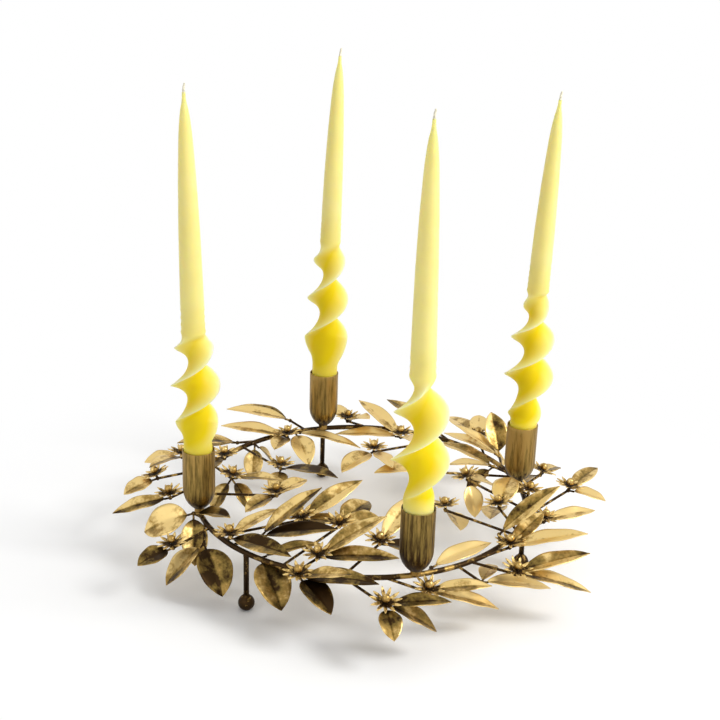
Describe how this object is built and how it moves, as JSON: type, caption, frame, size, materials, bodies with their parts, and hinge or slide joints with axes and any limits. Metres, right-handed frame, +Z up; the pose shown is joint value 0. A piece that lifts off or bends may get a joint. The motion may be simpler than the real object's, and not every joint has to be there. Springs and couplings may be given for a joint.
{
  "type": "advent candle holder",
  "caption": "Ring-shaped table candle holder in antique brass, dressed with leaf and blossom sprays, with bullet-shaped cups that hold twisted taper candles over ball feet.",
  "frame": {"origin": "on the floor plane under the middle of the ring", "axes": "+Z up, +X to the right and -Y to the front as the picture's near candle stands"},
  "size_m": [0.3821, 0.3538, 0.3685],
  "materials": {
    "brass_rod": "antique patina, satin",
    "brass_turned": "antique patina, satin",
    "brass_cup": "brushed, aged",
    "brass_wire": "antique patina, satin",
    "brass_leaf": "antique patina, satin",
    "brass_blossom": "antique patina, satin",
    "candle_wax": "smooth satin wax",
    "wick_cotton": "waxed braid"
  },
  "bodies": {
    "holder": {"ring_rod": "brass_rod", "back_leg_rod": "brass_rod", "back_ball_foot": "brass_turned", "left_leg_rod": "brass_rod", "left_ball_foot": "brass_turned", "right_leg_rod": "brass_rod", "right_ball_foot": "brass_turned", "left_candle_cup": "brass_cup", "left_cup_neck": "brass_turned", "left_twigs": "brass_wire", "left_lance_leaves": "brass_leaf", "left_oval_leaves": "brass_leaf", "left_blossoms": "brass_blossom", "left_blossom_beads": "brass_turned", "front_candle_cup": "brass_cup", "front_cup_neck": "brass_turned", "front_twigs": "brass_wire", "front_lance_leaves": "brass_leaf", "front_oval_leaves": "brass_leaf", "front_blossoms": "brass_blossom", "front_blossom_beads": "brass_turned", "right_candle_cup": "brass_cup", "right_cup_neck": "brass_turned", "right_twigs": "brass_wire", "right_lance_leaves": "brass_leaf", "right_oval_leaves": "brass_leaf", "right_blossoms": "brass_blossom", "right_blossom_beads": "brass_turned", "back_candle_cup": "brass_cup", "back_cup_neck": "brass_turned", "back_twigs": "brass_wire", "back_lance_leaves": "brass_leaf", "back_oval_leaves": "brass_leaf", "back_blossoms": "brass_blossom", "back_blossom_beads": "brass_turned"},
    "left_taper": {"left_candle": "candle_wax", "left_wick": "wick_cotton"},
    "front_taper": {"front_candle": "candle_wax", "front_wick": "wick_cotton"},
    "right_taper": {"right_candle": "candle_wax", "right_wick": "wick_cotton"},
    "back_taper": {"back_candle": "candle_wax", "back_wick": "wick_cotton"}
  },
  "joints": [
    {"name": "left_candle_lift", "type": "slide", "parent": "holder", "child": "left_taper", "axis": [-0.0218, 0.0063, 0.9997], "range_m": [0, 0.06]},
    {"name": "front_candle_lift", "type": "slide", "parent": "holder", "child": "front_taper", "axis": [-0.0151, 0.0043, 0.9999], "range_m": [0, 0.06]},
    {"name": "right_candle_lift", "type": "slide", "parent": "holder", "child": "right_taper", "axis": [0.0252, -0.0072, 0.9997], "range_m": [0, 0.06]},
    {"name": "back_candle_lift", "type": "slide", "parent": "holder", "child": "back_taper", "axis": [0.0201, -0.0058, 0.9998], "range_m": [0, 0.06]}
  ]
}
